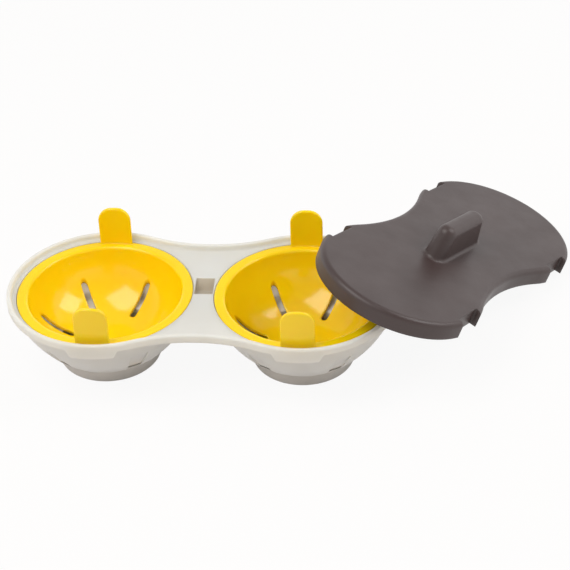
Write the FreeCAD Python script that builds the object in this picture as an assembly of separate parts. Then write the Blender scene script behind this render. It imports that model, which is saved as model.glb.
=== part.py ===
# Two-egg microwave poacher: tray on two grey feet, two slotted egg cups, and a lid leaned on the tray.
# The origin is on the table under the middle of the whole object: X along the tray, Y to the back, Z up.
import FreeCAD, Part
import math
import os

Vector = FreeCAD.Vector
Rotation = FreeCAD.Rotation
Placement = FreeCAD.Placement
UP = Vector(0, 0, 1)

# Driving dimensions, in millimetres and degrees

# Egg cups
flange_r = 48.0          # outer radius of a cup's flange
flange_w = 6.0           # width of the flange ring round the bowl
flange_t = 1.6           # thickness of the flange
flange_edge_r = 0.5      # rounding of the flange's outer edges
mouth_r = 1.6            # rounding where the flange turns into the bowl
bowl_depth = 32.3        # from the flange's top to the inside of the bowl
bowl_flat_r = 8.0        # radius of the bowl's flat bottom
cup_wall = 1.6           # thickness of the bowl
slot_count = 6           # drain slots in a bowl
slot_w = 3.8             # width of a slot
slot_inner_r = 19.7      # where a slot starts, from the cup's axis
slot_margin = 4.5        # from a slot's outer end to the bowl's mouth
tab_w = 18.2             # width of a lifting tab
tab_rise = 23.2          # height of a tab above the flange
tab_t = 2.0              # thickness of a tab
tab_corner_r = 7.6       # rounding of a tab's top corners
tab_edge_r = 0.6         # rounding of a tab's outer and inner edges
tab_key = 2.6            # how far a tab reaches below the flange, into the tray

# Tray
bridge = 11.2            # deck left between the two flange seats
seat_gap = 0.4           # clearance round a flange and round a tab's key
ledge = 2.3              # deck ring between a flange and the lip
lip_wall = 2.6           # thickness of the lip
lip_rise = 3.5           # height of the lip above the deck
lip_round = 1.25         # rounding of the lip's top edges
lip_under_r = 1.3        # rounding under the lip
deck_corner_r = 1.0      # rounding where the deck meets the lip
deck_t = 2.0             # thickness of the deck
waist = 42.4             # half the tray's width at its middle
shoulder = 2.4           # how far the wells stand in from the lip
seat_ledge = 1.4         # width of the seat under a flange
well_bulge = 2.3         # how far a well's wall bows out from a straight cone
well_wall = 1.8          # thickness of a well's floor and of its spigot
well_side = 2.2          # thickness of a well's bowed wall
spigot_turn = 2.0        # height in which a well widens over its foot
water_gap = 2.0          # room for water under a bowl
apron_drop = 3.2         # how far the lip reaches down to close a tab's pocket
apron_w = 23.0           # width of that apron along its lower edge
apron_slant = 2.6        # how much wider the apron is on each side at its top
pocket_w = 10.2          # blind pocket in the bridge, along the tray
pocket_l = 15.0          # length of that pocket across the tray
pocket_front = -1.0      # where the pocket starts, from the tray's middle
pocket_depth = 6.0       # depth of the pocket
pocket_slope = 4.0       # how far the pocket's back wall leans
pocket_wall = 1.4        # wall round the pocket under the deck

# Feet
foot_top_r = 31.8        # outer radius of a foot where it meets the well
foot_base_r = 28.0       # outer radius of a foot on the table
foot_h = 9.3             # height of a foot
foot_hollow_r = 21.0     # shallow hollow in the middle of a foot's sole
foot_hollow_h = 0.8      # depth of that hollow
foot_edge_r = 0.8        # rounding of a foot's lower edge
foot_sole = 3.0          # thickness of a foot under the well
foot_cover = 3.2         # thickness of a foot's top round the well's spigot
lug_count = 6            # lugs round a foot, one under each drain slot
lug_w = 6.4              # width of a lug
lug_h = 5.8              # height of a lug above the foot
groove_h = 20.0          # height of the groove that a lug stands in
groove_depth = 0.9       # depth of that groove in the well's wall
lug_gap = 0.15           # clearance round a lug

# Lid
lid_inset = 1.0          # how far the lid's skirt stands in from the flanges
lid_waist_gap = 3.6      # room between the lid and the lip at the waist
lid_h = 9.6              # height of the lid without its grip
lid_top_t = 2.0          # thickness of the lid's top
lid_wall = 1.8           # thickness of the skirt
lid_edge_r = 2.8         # rounding of the lid's top edge
notch_gap = 0.7          # clearance beside a tab in the lid's notch
notch_depth = 4.8        # depth of a notch from the skirt's outside
grip_l = 50.0            # length of the grip at its base
grip_w = 13.0            # width of the grip at its base
grip_rise = 18.5         # height of the grip above the lid
grip_end_draft = 5.5     # how far each end of the grip leans in
grip_side_draft = 1.3    # how far each side of the grip leans in
grip_top_r = 4.6         # rounding of the grip's top
grip_base_r = 1.8        # rounding where the grip meets the lid
grip_wall = 1.8          # thickness of the hollow grip
rib_t = 1.5              # thickness of the two long ribs under the lid

# How the lid leans on the tray's right end
lid_rest_out = 77.8      # lid's middle, along the tray from the right cup's axis
lid_rest_back = 47.3     # lid's middle, behind the tray's middle line
lid_rest_turn = 57.6     # lid's long side, turned from the tray's
lid_rest_slope = 15.6    # the way the lid slopes down, turned from the tray's right end
rest_gap = 0.3           # clearance left where the lid rests
rest_rounds = 60         # halvings taken to find the lid's tilt

# Sizes worked out from the above
seat_r = flange_r + seat_gap
cup_x = seat_r + bridge / 2
tray_r = seat_r + ledge + lip_wall
well_under_z = foot_sole
well_floor_z = well_under_z + well_wall
flange_z = well_floor_z + water_gap + cup_wall + bowl_depth
deck_z = flange_z
deck_under_z = deck_z - deck_t
lip_z = deck_z + lip_rise
seat_z = flange_z - flange_t
well_mouth_r = flange_r - seat_ledge
well_top_r = tray_r - shoulder
spigot_r = foot_top_r - foot_cover
bowl_r = flange_r - flange_w
bowl_arc_r = ((bowl_r - bowl_flat_r) ** 2 + bowl_depth ** 2) / (2 * bowl_depth)
slot_outer_r = bowl_r - slot_margin
key_z = seat_z - tab_key
apron_z = deck_under_z - apron_drop
lid_r = flange_r - lid_inset
lid_waist = waist - lip_wall - lid_waist_gap
notch_w = tab_w + 2 * notch_gap
lid_x = cup_x + lid_rest_out
lug_turns = [number * 360.0 / lug_count for number in range(lug_count)]
past = 1.0               # how far a cutting shape reaches past what it cuts


def line(a, b):
    return Part.LineSegment(a, b).toShape()


def arc(a, b, c):
    return Part.Arc(a, b, c).toShape()


def face(edges):
    return Part.Face(Part.Wire(edges))


def polygon(points):
    """A flat face through the points, given in order."""
    return Part.Face(Part.makePolygon(points + points[:1]))


def section(pairs):
    """A flat face in the XZ plane through (radius, height) pairs."""
    return polygon([Vector(r, 0, z) for r, z in pairs])


def spun(profile, angle=360.0, start=0.0):
    """The profile turned about Z through the angle, from the start angle."""
    solid = profile.revolve(Vector(), UP, angle)
    solid.rotate(Vector(), UP, start)
    return solid


def disc(radius, low, high):
    return Part.makeCylinder(radius, high - low, Vector(0, 0, low))


def block(x_low, x_high, y_low, y_high, z_low, z_high):
    return Part.makeBox(x_high - x_low, y_high - y_low, z_high - z_low, Vector(x_low, y_low, z_low))


def moved(shape, x=0.0, y=0.0, z=0.0):
    copy = shape.copy()
    copy.translate(Vector(x, y, z))
    return copy


def level_edges(shape, height):
    """The shape's edges that lie at one height."""
    found = []
    for edge in shape.Edges:
        box = edge.BoundBox
        if abs(box.ZMin - height) < 1e-4 and abs(box.ZMax - height) < 1e-4:
            found.append(edge)
    return found


def figure_eight(lobe_r, half_waist):
    """Two round lobes about the cups' axes, joined by a hollow waist in tangent arcs."""
    bend_r = (cup_x ** 2 + half_waist ** 2 - lobe_r ** 2) / (2 * (lobe_r - half_waist))
    share = lobe_r / (lobe_r + bend_r)
    x = cup_x * (1 - share)
    y = (half_waist + bend_r) * share
    end = cup_x + lobe_r
    return Part.Wire([
        arc(Vector(x, -y, 0), Vector(end, 0, 0), Vector(x, y, 0)),
        arc(Vector(x, y, 0), Vector(0, half_waist, 0), Vector(-x, y, 0)),
        arc(Vector(-x, y, 0), Vector(-end, 0, 0), Vector(-x, -y, 0)),
        arc(Vector(-x, -y, 0), Vector(0, -half_waist, 0), Vector(x, -y, 0)),
    ])


def figure_eight_prism(lobe_r, half_waist, low, high):
    prism = Part.Face(figure_eight(lobe_r, half_waist)).extrude(UP * (high - low))
    return moved(prism, z=low)


def bowed(low, high, bulge):
    """The middle of an arc from low to high that bows out from the axis."""
    along = high - low
    out = Vector(along.z, 0, -along.x).normalize()
    return (low + high) * 0.5 + out * bulge


def stadium(length, width, z):
    """A long wire with half-round ends, along X."""
    half = (length - width) / 2
    r = width / 2
    return Part.Wire([
        line(Vector(-half, -r, z), Vector(half, -r, z)),
        arc(Vector(half, -r, z), Vector(half + r, 0, z), Vector(half, r, z)),
        line(Vector(half, r, z), Vector(-half, r, z)),
        arc(Vector(-half, r, z), Vector(-half - r, 0, z), Vector(-half, -r, z)),
    ])


def well_wall_edge():
    low = Vector(foot_top_r, 0, foot_h)
    high = Vector(well_top_r, 0, deck_under_z)
    return arc(low, bowed(low, high, well_bulge), high)


def wall_r(z):
    """Outer radius of a well at a height on its bowed wall."""
    curve = well_wall_edge().Curve
    return curve.Center.x + math.sqrt(curve.Radius ** 2 - (z - curve.Center.z) ** 2)


def well_body():
    """A well's outside, filled in, with the spigot that its foot goes on."""
    corners = [
        Vector(well_top_r, 0, deck_under_z),
        Vector(well_top_r, 0, seat_z),
        Vector(0, 0, seat_z),
        Vector(0, 0, well_under_z),
        Vector(spigot_r, 0, well_under_z),
        Vector(spigot_r, 0, foot_h),
        Vector(foot_top_r, 0, foot_h),
    ]
    edges = [well_wall_edge()]
    for a, b in zip(corners, corners[1:]):
        edges.append(line(a, b))
    return spun(face(edges))


def well_room():
    """The hollow of a well, up through the deck, with the seat for a cup's flange."""
    turn_z = foot_h + 2 * spigot_turn
    low = Vector(wall_r(turn_z) - well_side, 0, turn_z)
    high = Vector(well_mouth_r, 0, seat_z)
    corners = [
        high,
        Vector(seat_r, 0, seat_z),
        Vector(seat_r, 0, lip_z + past),
        Vector(0, 0, lip_z + past),
        Vector(0, 0, well_floor_z),
        Vector(spigot_r - well_wall, 0, well_floor_z),
        Vector(spigot_r - well_wall, 0, foot_h + spigot_turn),
        low,
    ]
    edges = [arc(low, bowed(low, high, well_bulge), high)]
    for a, b in zip(corners, corners[1:]):
        edges.append(line(a, b))
    return spun(face(edges))


def lug_groove(turn):
    """The groove in a well's wall that a foot's lug stands in."""
    top = foot_h + groove_h
    out = wall_r(top) + past
    width = math.degrees((lug_w + 2 * lug_gap) / foot_top_r)
    mid = (foot_h + top) / 2
    floor = [Vector(wall_r(z) - groove_depth, 0, z) for z in (foot_h, mid, top)]
    profile = face([
        arc(*floor),
        line(floor[2], Vector(out, 0, top)),
        line(Vector(out, 0, top), Vector(out, 0, foot_h)),
        line(Vector(out, 0, foot_h), floor[0]),
    ])
    return spun(profile, width, turn - width / 2)


def apron(side):
    """The deeper stretch of the lip that closes a tab's pocket, at the front (-1) or back (1)."""
    half_low = apron_w / 2
    half_high = half_low + apron_slant
    plate = polygon([
        Vector(-half_low, 0, apron_z),
        Vector(half_low, 0, apron_z),
        Vector(half_high, 0, deck_under_z + lip_under_r),
        Vector(-half_high, 0, deck_under_z + lip_under_r),
    ])
    prism = plate.extrude(Vector(0, side * (tray_r + past), 0))
    return prism.common(disc(tray_r, apron_z, deck_z))


def tab_pocket(side):
    """Room beside the seat for a tab's key, at the front (-1) or back (1)."""
    half = tab_w / 2 + seat_gap
    near = flange_r - tab_t - seat_gap
    ring = disc(seat_r, key_z - seat_gap, deck_z).cut(disc(near, key_z - past, deck_z + past))
    low, high = sorted((0.0, side * tray_r))
    return ring.common(block(-half, half, low, high, key_z - past, deck_z + past))


def bridge_pocket(grow, low, top):
    """The blind pocket in the bridge, its back wall leaning, grown on all sides by grow."""
    x = pocket_w / 2 + grow
    front = pocket_front - grow
    back = pocket_front + pocket_l + grow
    lean = pocket_slope * (top - low) / pocket_depth
    profile = polygon([
        Vector(-x, front, top),
        Vector(-x, back, top),
        Vector(-x, back - lean, low),
        Vector(-x, front, low),
    ])
    return profile.extrude(Vector(2 * x, 0, 0))


def make_tray():
    rim = figure_eight_prism(tray_r, waist, deck_under_z, lip_z)
    rim = rim.makeFillet(lip_under_r, level_edges(rim, deck_under_z))
    rim = rim.cut(figure_eight_prism(tray_r - lip_wall, waist - lip_wall, deck_z, lip_z + past))
    rim = rim.makeFillet(deck_corner_r, level_edges(rim, deck_z))
    rim = rim.makeFillet(lip_round, level_edges(rim, lip_z))
    pocket_low = deck_z - pocket_depth
    added = [bridge_pocket(pocket_wall, pocket_low - pocket_wall, deck_under_z)]
    taken = [bridge_pocket(0.0, pocket_low, deck_z)]
    for x in (-cup_x, cup_x):
        added.append(moved(well_body(), x))
        taken.append(moved(well_room(), x))
        for side in (-1, 1):
            added.append(moved(apron(side), x))
            taken.append(moved(tab_pocket(side), x))
        for turn in lug_turns:
            taken.append(moved(lug_groove(turn), x))
    return rim.multiFuse(added).cut(taken).removeSplitter()


def make_foot():
    """The pad under a well, with the lugs that key it, about the Z axis."""
    foot = spun(section([
        (0, foot_hollow_h),
        (foot_hollow_r, foot_hollow_h),
        (foot_hollow_r, 0),
        (foot_base_r, 0),
        (foot_top_r, foot_h),
        (spigot_r, foot_h),
        (spigot_r, well_under_z),
        (0, well_under_z),
    ]))
    outline = [e for e in level_edges(foot, 0.0) if e.Curve.Radius > foot_base_r - 1e-3]
    foot = foot.makeFillet(foot_edge_r, outline)
    top = foot_h + lug_h
    root = foot_h - lug_gap
    inset = groove_depth - lug_gap
    width = math.degrees(lug_w / foot_top_r)
    profile = section([
        (foot_top_r - inset, root),
        (foot_top_r - inset, foot_h),
        (wall_r(top) - inset, top),
        (wall_r(top), top),
        (foot_top_r, foot_h),
        (foot_top_r - lug_gap, root),
    ])
    lugs = [spun(profile, width, turn - width / 2) for turn in lug_turns]
    return foot.multiFuse(lugs).removeSplitter()


def make_cup():
    """A slotted bowl with its flange and two tabs, about the Z axis, with the flange's top at 0."""
    centre_z = bowl_arc_r - bowl_depth
    outer_r = bowl_arc_r + cup_wall
    under_r = bowl_flat_r + math.sqrt(outer_r ** 2 - (centre_z + flange_t) ** 2)
    mid = math.radians(-45)

    def on_bend(radius):
        return Vector(bowl_flat_r + radius * math.cos(mid), 0, centre_z + radius * math.sin(mid))

    inner_mid = Vector(0, 0, -bowl_depth)
    outer_mid = Vector(0, 0, -bowl_depth - cup_wall)
    inner_low = Vector(bowl_flat_r, 0, -bowl_depth)
    outer_low = Vector(bowl_flat_r, 0, -bowl_depth - cup_wall)
    mouth = Vector(bowl_r, 0, 0)
    under = Vector(under_r, 0, -flange_t)
    edge_high = Vector(flange_r, 0, 0)
    edge_low = Vector(flange_r, 0, -flange_t)
    cup = spun(face([
        line(inner_mid, inner_low),
        arc(inner_low, on_bend(bowl_arc_r), mouth),
        line(mouth, edge_high),
        line(edge_high, edge_low),
        line(edge_low, under),
        arc(under, on_bend(outer_r), outer_low),
        line(outer_low, outer_mid),
        line(outer_mid, inner_mid),
    ]))
    top_edges = level_edges(cup, 0.0)
    cup = cup.makeFillet(mouth_r, [e for e in top_edges if e.Curve.Radius < flange_r - past])
    outline = [e for e in cup.Edges if e.BoundBox.XMax > flange_r - 1e-3 and e.BoundBox.ZLength < 1e-3]
    cup = cup.makeFillet(flange_edge_r, outline)
    slot = Part.Face(stadium(slot_outer_r - slot_inner_r, slot_w, 0)).extrude(UP * (bowl_depth + cup_wall))
    slot = moved(slot, (slot_outer_r + slot_inner_r) / 2, 0, -bowl_depth - cup_wall - flange_t)
    slots = []
    for number in range(slot_count):
        copy = slot.copy()
        copy.rotate(Vector(), UP, number * 360.0 / slot_count)
        slots.append(copy)
    tabs = [make_tab(), make_tab()]
    tabs[1].rotate(Vector(), UP, 180)
    return cup.cut(slots).multiFuse(tabs).removeSplitter()


def make_tab():
    """A lifting tab at the back of a cup, curved with the flange."""
    low = -flange_t - tab_key
    half = tab_w / 2
    turn = half - tab_corner_r
    bend_z = tab_rise - tab_corner_r
    mid = tab_corner_r * math.sqrt(0.5)
    front = face([
        line(Vector(-half, 0, low), Vector(half, 0, low)),
        line(Vector(half, 0, low), Vector(half, 0, bend_z)),
        arc(Vector(half, 0, bend_z), Vector(turn + mid, 0, bend_z + mid), Vector(turn, 0, tab_rise)),
        line(Vector(turn, 0, tab_rise), Vector(-turn, 0, tab_rise)),
        arc(Vector(-turn, 0, tab_rise), Vector(-turn - mid, 0, bend_z + mid), Vector(-half, 0, bend_z)),
        line(Vector(-half, 0, bend_z), Vector(-half, 0, low)),
    ])
    ring = disc(flange_r, low, tab_rise + past).cut(disc(flange_r - tab_t, low - past, tab_rise + 2 * past))
    tab = front.extrude(Vector(0, flange_r + past, 0)).common(ring)
    upper = [e for e in tab.Edges if e.BoundBox.ZMax > past and e.BoundBox.YLength < tab_t - 1e-3]
    upper = [e for e in upper if e.BoundBox.XLength > 1e-3 or e.BoundBox.YLength < 1e-3]
    return tab.makeFillet(tab_edge_r, upper)


def grip_body(shrink, low, high):
    """The drafted grip between two heights over the lid's top, its sides set in by shrink."""
    def outline(z):
        share = (z - lid_h) / grip_rise
        length = grip_l - 2 * (shrink + grip_end_draft * share)
        width = grip_w - 2 * (shrink + grip_side_draft * share)
        return stadium(length, width, z)
    return Part.makeLoft([outline(low), outline(high)], True, True)


def notch_blocks(grow):
    """The four places at the lid's long sides where the cups' tabs pass, grown by grow."""
    half = notch_w / 2 + grow
    near = lid_r - notch_depth - grow
    blocks = []
    for x in (-cup_x, cup_x):
        for low, high in ((-lid_r - past, -near), (near, lid_r + past)):
            blocks.append(block(x - half, x + half, low, high, -past, lid_h + past))
    return blocks


def long_ribs():
    """The two ribs along the lid, flush with its skirt, in line with the sides of the hollow grip."""
    reach = cup_x + lid_r
    near = grip_w / 2 - grip_wall
    ribs = []
    for low in (-near - rib_t, near):
        ribs.append(block(-reach, reach, low, low + rib_t, 0, lid_h))
    return ribs


def make_lid():
    """The lid with its skirt's lower edge on the XY plane."""
    lid = figure_eight_prism(lid_r, lid_waist, 0, lid_h)
    lid = lid.makeFillet(lid_edge_r, level_edges(lid, lid_h))
    lid = lid.cut(notch_blocks(0.0))
    room = figure_eight_prism(lid_r - lid_wall, lid_waist - lid_wall, -past, lid_h - lid_top_t)
    room = room.cut(notch_blocks(lid_wall))
    lid = lid.cut(room.cut(long_ribs()))
    grip = grip_body(0.0, lid_h, lid_h + grip_rise)
    grip = grip.makeFillet(grip_top_r, level_edges(grip, lid_h + grip_rise))
    lid = lid.fuse(grip).removeSplitter()
    root = [e for e in level_edges(lid, lid_h) if e.BoundBox.YLength < grip_w + past
            and abs(e.CenterOfMass.y) < grip_w and abs(e.CenterOfMass.x) < grip_l / 2 + past]
    lid = lid.makeFillet(grip_base_r, root)
    hollow = grip_body(grip_wall, lid_h - lid_top_t - past, lid_h + grip_rise - grip_top_r / 2)
    return lid.cut(hollow).removeSplitter()


def resting_place():
    """Where the lid lies: its ribs on the lip's crest, and the far end of its skirt on the table."""
    crest = lip_wall / 2
    crest_r = tray_r - crest
    slope = Rotation(UP, lid_rest_slope).multVec(Vector(1, 0, 0))
    turned = Rotation(UP, lid_rest_turn)
    middle = Vector(lid_x, lid_rest_back, 0)
    uphill = slope.dot(middle - Vector(cup_x, 0, 0)) - crest_r
    skirt = figure_eight(lid_r, lid_waist).discretize(720)
    downhill = max(slope.dot(turned.multVec(p)) for p in skirt)
    flat, steep = 0.0, math.radians(60)
    for _ in range(rest_rounds):
        tilt = (flat + steep) / 2
        crest_z = lip_z - crest + (crest + rest_gap) / math.cos(tilt)
        if crest_z - uphill * math.tan(tilt) > rest_gap + downhill * math.sin(tilt):
            flat = tilt
        else:
            steep = tilt
    middle.z = rest_gap + downhill * math.sin(tilt)
    axis = UP.cross(slope)
    return Placement(middle, Rotation(axis, math.degrees(tilt)) * turned)


def main():
    os.makedirs("parts", exist_ok=True)
    cup = make_cup()
    foot = make_foot()
    lid = make_lid()
    lid.Placement = resting_place()
    nodes = {
        "tray": make_tray(),
        "left_foot": moved(foot, -cup_x),
        "right_foot": moved(foot, cup_x),
        "left_cup": moved(cup, -cup_x, 0, flange_z),
        "right_cup": moved(cup, cup_x, 0, flange_z),
        "lid": lid,
    }
    box = Part.makeCompound(list(nodes.values())).optimalBoundingBox()
    print("middle of the object", round(box.Center.x, 3), round(box.Center.y, 3))
    for name, shape in nodes.items():
        shape = moved(shape, -box.Center.x, -box.Center.y)
        shape.exportStep("parts/" + name + ".step")
        print(name, "solids", len(shape.Solids), "valid", shape.isValid(), "volume", round(shape.Volume))


main()
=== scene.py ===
import bpy
import math
from mathutils import Matrix, Vector


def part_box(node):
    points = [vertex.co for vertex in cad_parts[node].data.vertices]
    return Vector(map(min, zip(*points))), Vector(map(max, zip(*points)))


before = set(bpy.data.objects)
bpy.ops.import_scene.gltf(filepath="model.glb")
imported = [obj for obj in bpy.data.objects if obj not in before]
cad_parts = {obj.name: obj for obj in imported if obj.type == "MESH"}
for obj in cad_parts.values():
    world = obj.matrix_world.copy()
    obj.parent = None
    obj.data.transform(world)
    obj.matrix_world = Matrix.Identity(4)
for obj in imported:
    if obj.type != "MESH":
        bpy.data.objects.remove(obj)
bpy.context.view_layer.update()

scene = bpy.context.scene

# The photograph's view: where the camera aims, from which side, and how it is rolled
AIM_FROM_TRAY = Vector((0.04397, 0.00849, 0.0407))
DISTANCE = 0.9561
TURN = math.radians(4.52)
ELEVATION = math.radians(36.04)
ROLL = math.radians(-1.76)
LENS_MM = 110.53
SENSOR_MM = 36.0

# The tray's wells, whose lining is painted paler as painted light: how far their axes lie from its middle,
# how wide they are and how high their lining goes
WELL_X = 0.054
WELL_R = 0.048
WELL_TOP = 0.0385
# How far a face has to turn up or to the axis to count as lining with painted light, and a radius to keep
# from dividing by zero
LINING_TURN = 0.2
LEAST_R = 0.001
# The pocket in the deck, whose faces get painted shade: its reach from the tray's middle each way, its brim,
# how far a face may look down
POCKET_X = 0.0054
POCKET_Y = 0.014
POCKET_TOP = 0.0405
POCKET_TURN = -0.5

# Colours, linear
TRAY_PALE = (0.690, 0.684, 0.636, 1.0)
TRAY_DEEP = (0.650, 0.640, 0.588, 1.0)
TRAY_WORN = (0.760, 0.754, 0.715, 1.0)
# Painted light: the wells' lining, paler than the tray, standing in for light that comes through the plastic
# into the wells
WELL_PAINTED_LIGHT = (0.930, 0.920, 0.880, 1.0)
# Painted shade: the pocket's tan, standing for the shade in the recess
POCKET_PAINTED_SHADE = (0.500, 0.440, 0.355, 1.0)
# Painted shade: the feet are greyer than the tray, standing for the shade under the wall's overhang
FOOT_SHADE_PALE = (0.600, 0.580, 0.545, 1.0)
FOOT_SHADE_DEEP = (0.530, 0.510, 0.475, 1.0)
FOOT_SHADE_WORN = (0.660, 0.640, 0.600, 1.0)
CUP_PALE = (0.990, 0.680, 0.003, 1.0)
CUP_DEEP = (0.985, 0.650, 0.002, 1.0)
CUP_WORN = (0.990, 0.760, 0.040, 1.0)
LID_PALE = (0.054, 0.033, 0.031, 1.0)
LID_DEEP = (0.046, 0.028, 0.026, 1.0)
LID_WORN = (0.115, 0.090, 0.086, 1.0)
FLOOR = (0.78, 0.71, 0.66, 1.0)
WHITE = (1.0, 1.0, 1.0, 1.0)

# Noises of the mouldings: waves per metre, detail, roughness; the grain's waves differ by material
CLOUD = (26.0, 4.0, 0.55)
SPECK = (900.0, 2.0, 0.55)
RUB = (140.0, 5.0, 0.65)
SMEAR = (55.0, 5.0, 0.6)
GRAIN = (3.0, 0.6)
# Where each noise starts and stops to show
CLOUD_SPAN = (0.34, 0.68)
SPECK_SPAN = (0.62, 0.74)
RUB_SPAN = (0.40, 0.66)
SMEAR_SPAN = (0.30, 0.72)
# How much of the deep colour a speck takes, the least share of wear on an edge, and the sheen's swing
SPECK_SHARE = 0.16
LEAST_WEAR = 0.3
SMOOTHER = 0.05
ROUGHER = 0.06
# An edge is where the rounded normal leaves the flat one: wear starts at one cosine and is full at the other
EDGE_COSINES = (0.995, 0.90)
EDGE_SAMPLES = 6
GRAIN_STRENGTH = 0.35

# The floor: half its side, how far it lies below the object, and the share of white that is seen on it
FLOOR_HALF = 6.0
FLOOR_DROP = 0.0002
FLOOR_GLOW = 0.92
# Where the world's light turns from the horizon's level to the one overhead, and from front to back
RISE_SPAN = (0.20, 0.62)
BACK_SPAN = (-0.40, 0.30)


class Graph:
    """The nodes of a material or world, added and linked in one call each."""

    def __init__(self, owner):
        owner.use_nodes = True
        self.owner = owner
        self.tree = owner.node_tree
        self.tree.nodes.clear()

    def put(self, socket, value):
        if isinstance(value, bpy.types.NodeSocket):
            self.tree.links.new(value, socket)
        else:
            socket.default_value = value

    def add(self, kind, settings=None, **inputs):
        """A node with its settings, and its inputs by name."""
        node = self.tree.nodes.new(kind)
        for key, value in (settings or {}).items():
            setattr(node, key, value)
        for key, value in inputs.items():
            self.put(node.inputs[key.replace("_", " ")], value)
        return node

    def feed(self, kind, settings, values):
        """A node with its settings, and its inputs in order."""
        node = self.add(kind, settings)
        for socket, value in zip(node.inputs, values):
            self.put(socket, value)
        return node

    def math(self, operation, a, b=0.0):
        return self.feed("ShaderNodeMath", {"operation": operation}, (a, b)).outputs[0]

    def both(self, *shares):
        """The product of shares, 1 only where all are."""
        product = shares[0]
        for share in shares[1:]:
            product = self.math("MULTIPLY", product, share)
        return product

    def dot(self, a, b):
        return self.feed("ShaderNodeVectorMath", {"operation": "DOT_PRODUCT"}, (a, b)).outputs["Value"]

    def split(self, vector):
        return self.add("ShaderNodeSeparateXYZ", Vector=vector).outputs

    def span(self, value, ends, to_low, to_high):
        node = self.add("ShaderNodeMapRange", {"clamp": True}, Value=value, From_Min=ends[0],
                        From_Max=ends[1], To_Min=to_low, To_Max=to_high)
        return node.outputs["Result"]

    def noise(self, place, scale, detail, roughness):
        node = self.add("ShaderNodeTexNoise", Vector=place, Scale=scale, Detail=detail, Roughness=roughness)
        return node.outputs["Fac"]

    def mix(self, factor, a, b):
        node = self.add("ShaderNodeMix", {"data_type": "RGBA"})
        # A mix node keeps its colours at these places among its inputs and outputs
        for place, value in ((0, factor), (6, a), (7, b)):
            self.put(node.inputs[place], value)
        return node.outputs[2]


def tray_painted_faces(g, place):
    """Two shares, 1 or 0: the faces that line the tray's wells, which get painted light, and those of the
    recess in its deck, which get painted shade.
    """
    x, y, z = g.split(place)
    nx, ny, nz = g.split(g.add("ShaderNodeNewGeometry").outputs["Normal"])
    across = g.math("SUBTRACT", x, tray_middle.x)
    side = g.math("SIGN", across)
    out_x = g.math("SUBTRACT", across, g.math("MULTIPLY", side, WELL_X))
    out_y = g.math("SUBTRACT", y, tray_middle.y)
    along = g.math("ADD", g.math("MULTIPLY", out_x, nx), g.math("MULTIPLY", out_y, ny))
    square = g.math("ADD", g.math("MULTIPLY", out_x, out_x), g.math("MULTIPLY", out_y, out_y))
    radius = g.math("MAXIMUM", g.math("SQRT", square), LEAST_R)
    inward = g.math("SUBTRACT", nz, g.math("DIVIDE", along, radius))
    # The wells' lining, which gets painted light
    well_light = g.both(g.math("GREATER_THAN", inward, LINING_TURN), g.math("LESS_THAN", z, WELL_TOP),
                  g.math("LESS_THAN", radius, WELL_R))
    # The pocket's faces, which get painted shade
    pocket_shade = g.both(g.math("GREATER_THAN", nz, POCKET_TURN), g.math("LESS_THAN", z, POCKET_TOP),
                    g.math("LESS_THAN", g.math("ABSOLUTE", across), POCKET_X),
                    g.math("LESS_THAN", g.math("ABSOLUTE", out_y), POCKET_Y))
    return well_light, pocket_shade


def moulded(name, pale, deep, worn, rough, grain_size, grain_depth, edge_r, wear, with_painted_light_and_shade=False, **shader):
    """A moulded material: cloudy colour, a fine tool grain, uneven sheen and paler, rubbed edges."""
    g = Graph(bpy.data.materials.new(name))
    place = g.add("ShaderNodeTexCoord").outputs["Object"]
    colour = g.mix(g.span(g.noise(place, *CLOUD), CLOUD_SPAN, 0.0, 1.0), pale, deep)
    colour = g.mix(g.span(g.noise(place, *SPECK), SPECK_SPAN, 0.0, SPECK_SHARE), colour, deep)
    if with_painted_light_and_shade:
        # Painted light in the wells' lining and painted shade in the pocket
        well_light, pocket_shade = tray_painted_faces(g, place)
        # Painted shade: the pocket's faces are coloured tan, as the shade in the recess
        colour = g.mix(pocket_shade, g.mix(well_light, colour, WELL_PAINTED_LIGHT), POCKET_PAINTED_SHADE)
    rounded = g.add("ShaderNodeBevel", {"samples": EDGE_SAMPLES}, Radius=edge_r).outputs["Normal"]
    flat = g.add("ShaderNodeNewGeometry").outputs["Normal"]
    edge = g.span(g.dot(rounded, flat), EDGE_COSINES, 0.0, 1.0)
    rubbed = g.span(g.noise(place, *RUB), RUB_SPAN, wear * LEAST_WEAR, wear)
    colour = g.mix(g.math("MULTIPLY", edge, rubbed), colour, worn)
    sheen = g.span(g.noise(place, *SMEAR), SMEAR_SPAN, rough - SMOOTHER, rough + ROUGHER)
    grain = g.noise(place, 1.0 / grain_size, *GRAIN)
    bump = g.add("ShaderNodeBump", Strength=GRAIN_STRENGTH, Distance=grain_depth, Height=grain,
                 Normal=rounded)
    surface = g.add("ShaderNodeBsdfPrincipled", Base_Color=colour, Roughness=sheen,
                    Normal=bump.outputs["Normal"], **shader)
    g.add("ShaderNodeOutputMaterial", Surface=surface.outputs["BSDF"])
    return g.owner


def floor_material():
    """A white floor that keeps the object's shadow."""
    g = Graph(bpy.data.materials.new("studio_floor"))
    rays = g.add("ShaderNodeLightPath").outputs
    seen = g.math("MAXIMUM", rays["Is Camera Ray"], rays["Is Glossy Ray"])
    seen = g.math("MAXIMUM", seen, rays["Is Transmission Ray"])
    matt = g.add("ShaderNodeBsdfDiffuse", Color=FLOOR).outputs[0]
    glow = g.add("ShaderNodeEmission", Color=WHITE, Strength=1.0).outputs[0]
    share = g.math("MULTIPLY", seen, FLOOR_GLOW)
    mixed = g.feed("ShaderNodeMixShader", None, (share, matt, glow))
    g.add("ShaderNodeOutputMaterial", Surface=mixed.outputs[0])
    return g.owner


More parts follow.
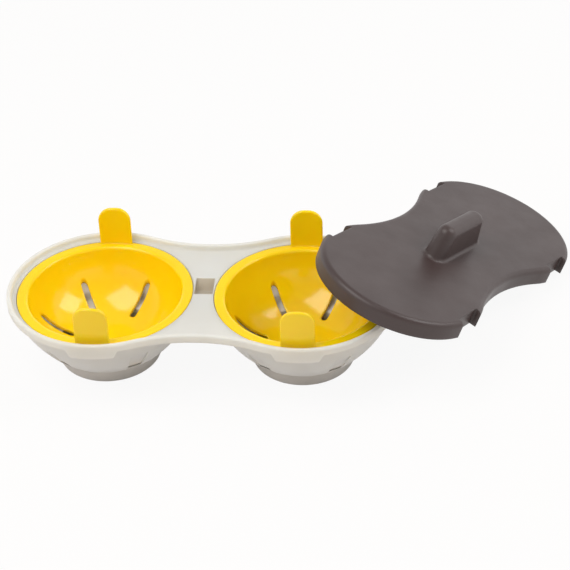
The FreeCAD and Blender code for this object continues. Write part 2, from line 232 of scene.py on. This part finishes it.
def studio_world(overhead, in_front, behind):
    """A plain soft studio: a bright backdrop behind the object, dimmer in front and overhead."""
    g = Graph(bpy.data.worlds.new("studio_world"))
    way = g.split(g.add("ShaderNodeTexCoord").outputs["Generated"])
    rise = g.span(way["Z"], RISE_SPAN, 1.0, overhead)
    back = g.span(way["Y"], BACK_SPAN, in_front, behind)
    level = g.math("MULTIPLY", rise, back)
    soft = g.add("ShaderNodeBackground", Color=WHITE, Strength=level)
    g.add("ShaderNodeOutputWorld", Surface=soft.outputs[0])
    scene.world = g.owner


def softbox(name, place, side, watts, colour):
    """A square studio lamp turned to the object, its place given from the tray's middle."""
    lamp = bpy.data.lights.new(name, "AREA")
    lamp.shape = "SQUARE"
    lamp.size = side
    lamp.energy = watts
    lamp.color = colour
    holder = bpy.data.objects.new(name, lamp)
    holder.location = tray_middle + Vector(place)
    holder.rotation_euler = (aim - holder.location).to_track_quat("-Z", "Y").to_euler()
    scene.collection.objects.link(holder)


def add_floor(half):
    """A square floor just below the object."""
    mesh = bpy.data.meshes.new("studio_floor")
    corners = [(-half, -half, 0), (half, -half, 0), (half, half, 0), (-half, half, 0)]
    mesh.from_pydata(corners, [], [(0, 1, 2, 3)])
    mesh.materials.append(floor_material())
    floor = bpy.data.objects.new("studio_floor", mesh)
    floor.location.z = -FLOOR_DROP
    scene.collection.objects.link(floor)


def add_camera():
    """The photograph's camera, from its aim, turn, elevation and roll."""
    ahead = Vector((-math.sin(TURN) * math.cos(ELEVATION), math.cos(TURN) * math.cos(ELEVATION),
                    -math.sin(ELEVATION)))
    level = Vector((math.cos(TURN), math.sin(TURN), 0.0))
    upright = level.cross(ahead)
    across = math.cos(ROLL) * level + math.sin(ROLL) * upright
    up = -math.sin(ROLL) * level + math.cos(ROLL) * upright
    camera = bpy.data.objects.new("camera", bpy.data.cameras.new("camera"))
    camera.data.lens = LENS_MM
    camera.data.sensor_width = SENSOR_MM
    turn = Matrix((across, up, -ahead)).transposed().to_4x4()
    camera.matrix_world = Matrix.Translation(aim - DISTANCE * ahead) @ turn
    scene.collection.objects.link(camera)
    scene.camera = camera


low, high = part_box("tray")
tray_middle = Vector(((low.x + high.x) / 2, (low.y + high.y) / 2, 0.0))
aim = tray_middle + AIM_FROM_TRAY

tray_plastic = moulded("tray_plastic", TRAY_PALE, TRAY_DEEP, TRAY_WORN, rough=0.44, grain_size=0.0007,
                       grain_depth=0.00004, edge_r=0.0008, wear=0.40, with_painted_light_and_shade=True,
                       Subsurface_Weight=0.60, Subsurface_Scale=0.012, Subsurface_Radius=(1.0, 0.9, 0.75))
# The feet's greyer colour is painted shade under the wall's overhang
foot_rubber = moulded("foot_rubber", FOOT_SHADE_PALE, FOOT_SHADE_DEEP, FOOT_SHADE_WORN, rough=0.66, grain_size=0.0006,
                      grain_depth=0.00008, edge_r=0.0005, wear=0.50)
cup_plastic = moulded("cup_plastic", CUP_PALE, CUP_DEEP, CUP_WORN, rough=0.14, grain_size=0.0030,
                      grain_depth=0.00002, edge_r=0.0014, wear=0.15,
                      Subsurface_Weight=0.30, Subsurface_Scale=0.002, Subsurface_Radius=(0.4, 1.0, 0.2))
lid_plastic = moulded("lid_plastic", LID_PALE, LID_DEEP, LID_WORN, rough=0.42, grain_size=0.0006,
                      grain_depth=0.00004, edge_r=0.0018, wear=0.30, Specular_IOR_Level=0.60)

finishes = {
    "tray": tray_plastic,
    "left_foot": foot_rubber,
    "right_foot": foot_rubber,
    "left_cup": cup_plastic,
    "right_cup": cup_plastic,
    "lid": lid_plastic,
}
for node, material in finishes.items():
    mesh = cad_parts[node].data
    mesh.materials.clear()
    mesh.materials.append(material)

add_floor(FLOOR_HALF)
studio_world(overhead=0.35, in_front=0.80, behind=1.30)
softbox("left_light", (-0.50, -0.35, 1.15), side=0.85, watts=9.6, colour=(1.0, 0.98, 0.95))
softbox("right_light", (0.92, 0.10, 0.92), side=0.65, watts=5.7, colour=(1.0, 1.0, 1.0))
add_camera()
scene.view_settings.view_transform = "Standard"
